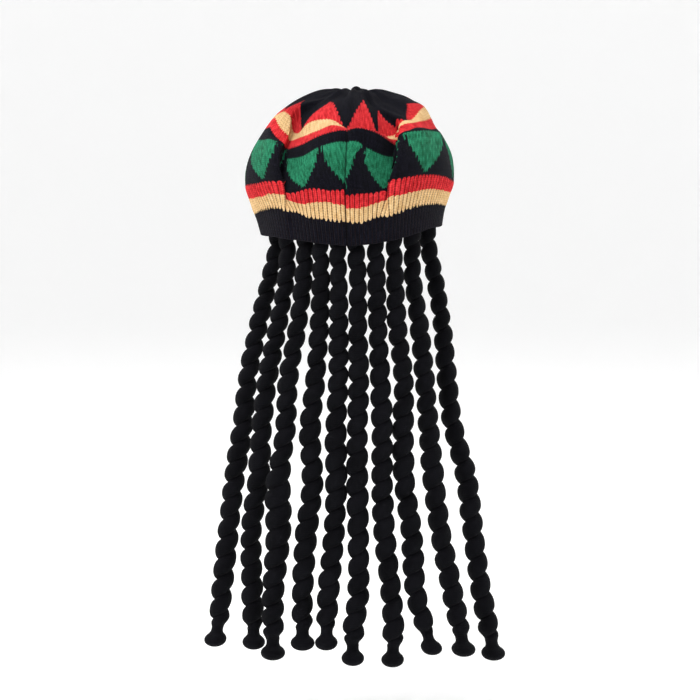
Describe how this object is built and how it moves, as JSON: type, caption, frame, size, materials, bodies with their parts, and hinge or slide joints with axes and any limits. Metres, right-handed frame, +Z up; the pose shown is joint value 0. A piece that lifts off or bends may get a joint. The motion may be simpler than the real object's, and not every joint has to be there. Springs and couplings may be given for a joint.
{
  "type": "beanie with dreadlocks",
  "caption": "Slouchy knitted beanie with a ribbed band, a gathered crown and long twisted yarn dreadlocks hanging from inside the band at the back.",
  "frame": {"origin": "middle of the head opening, level with the band's lower edge, where a head goes in", "axes": "+Z up, +Y the way the wearer faces, so the dreadlocks hang on the -Y side; +X is the wearer's right"},
  "size_m": [0.3171, 0.2243, 0.6048],
  "materials": {
    "crown_knit": "plain knit, black with green triangles and red and cream stripes",
    "band_knit": "ribbed knit in red, cream and black rings",
    "lock_yarn": "matt black padded yarn rope with a spiral groove"
  },
  "bodies": {
    "root": {"crown_top": "crown_knit", "crown_side": "crown_knit", "ribbed_band": "band_knit", "dreadlock_01": "lock_yarn", "dreadlock_02": "lock_yarn", "dreadlock_03": "lock_yarn", "dreadlock_04": "lock_yarn", "dreadlock_05": "lock_yarn", "dreadlock_06": "lock_yarn", "dreadlock_07": "lock_yarn", "dreadlock_08": "lock_yarn", "dreadlock_09": "lock_yarn", "dreadlock_10": "lock_yarn"}
  },
  "joints": []
}
